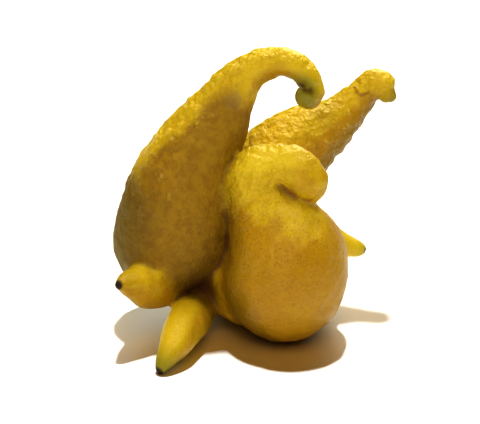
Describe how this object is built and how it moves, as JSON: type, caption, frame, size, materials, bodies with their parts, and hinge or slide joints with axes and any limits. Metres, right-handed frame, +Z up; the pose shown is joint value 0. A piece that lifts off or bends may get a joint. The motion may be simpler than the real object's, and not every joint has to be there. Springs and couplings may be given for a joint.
{
  "type": "buddhas hand citron",
  "caption": "Whole Buddha's hand citron: a rounded palm split into large hooked fingers and small pointed ones, with a cut stem behind, resting on its lower lobe.",
  "frame": {"origin": "middle of the bounding box's bottom, on the surface that the fruit rests on", "axes": "+Z up as the fruit rests, -Y the side that shows all the fingers, +X the way the large fingers hook"},
  "size_m": [0.1156, 0.1044, 0.1138],
  "materials": {
    "rind": "waxy pebbled citrus rind, semi-gloss, yellow with greenish tips and dark dried style ends"
  },
  "bodies": {
    "root": {"citron": "rind"}
  },
  "joints": []
}
